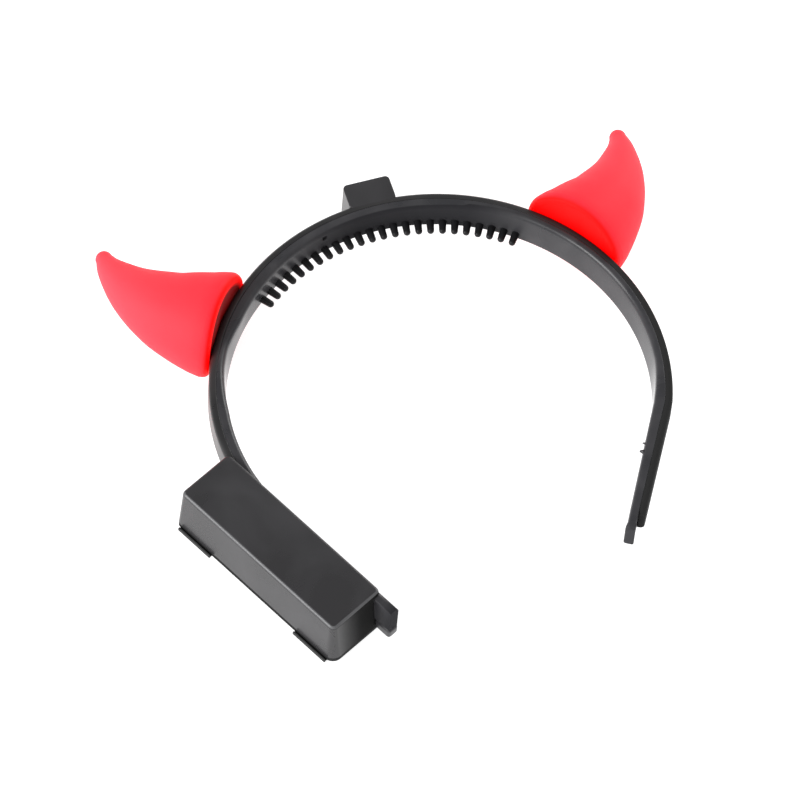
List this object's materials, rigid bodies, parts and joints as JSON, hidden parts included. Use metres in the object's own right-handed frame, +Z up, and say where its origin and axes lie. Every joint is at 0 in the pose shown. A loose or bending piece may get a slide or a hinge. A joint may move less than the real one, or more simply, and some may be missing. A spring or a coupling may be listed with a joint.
{
  "type": "light-up devil horns headband",
  "caption": "Rigid plastic headband with an inner comb strip, an outer cover strip with a crown lug and battery box, and a pair of soft hollow devil horns.",
  "frame": {"origin": "centre of the bounding box's base, on the surface that the headband rests on", "axes": "+X towards the free arm, -X towards the arm with the battery box, +Y from the arm ends towards the crown lug, +Z up from the surface, across the band's width"},
  "size_m": [0.1576, 0.1368, 0.0315],
  "materials": {
    "comb_plastic": "semi-gloss moulded black",
    "cover_plastic": "semi-gloss moulded black",
    "door_plastic": "satin moulded black",
    "horn_plastic": "soft translucent red moulding"
  },
  "bodies": {
    "root": {"comb_band": "comb_plastic", "outer_cover": "cover_plastic", "battery_door": "door_plastic", "horn_left": "horn_plastic", "horn_right": "horn_plastic"}
  },
  "joints": []
}
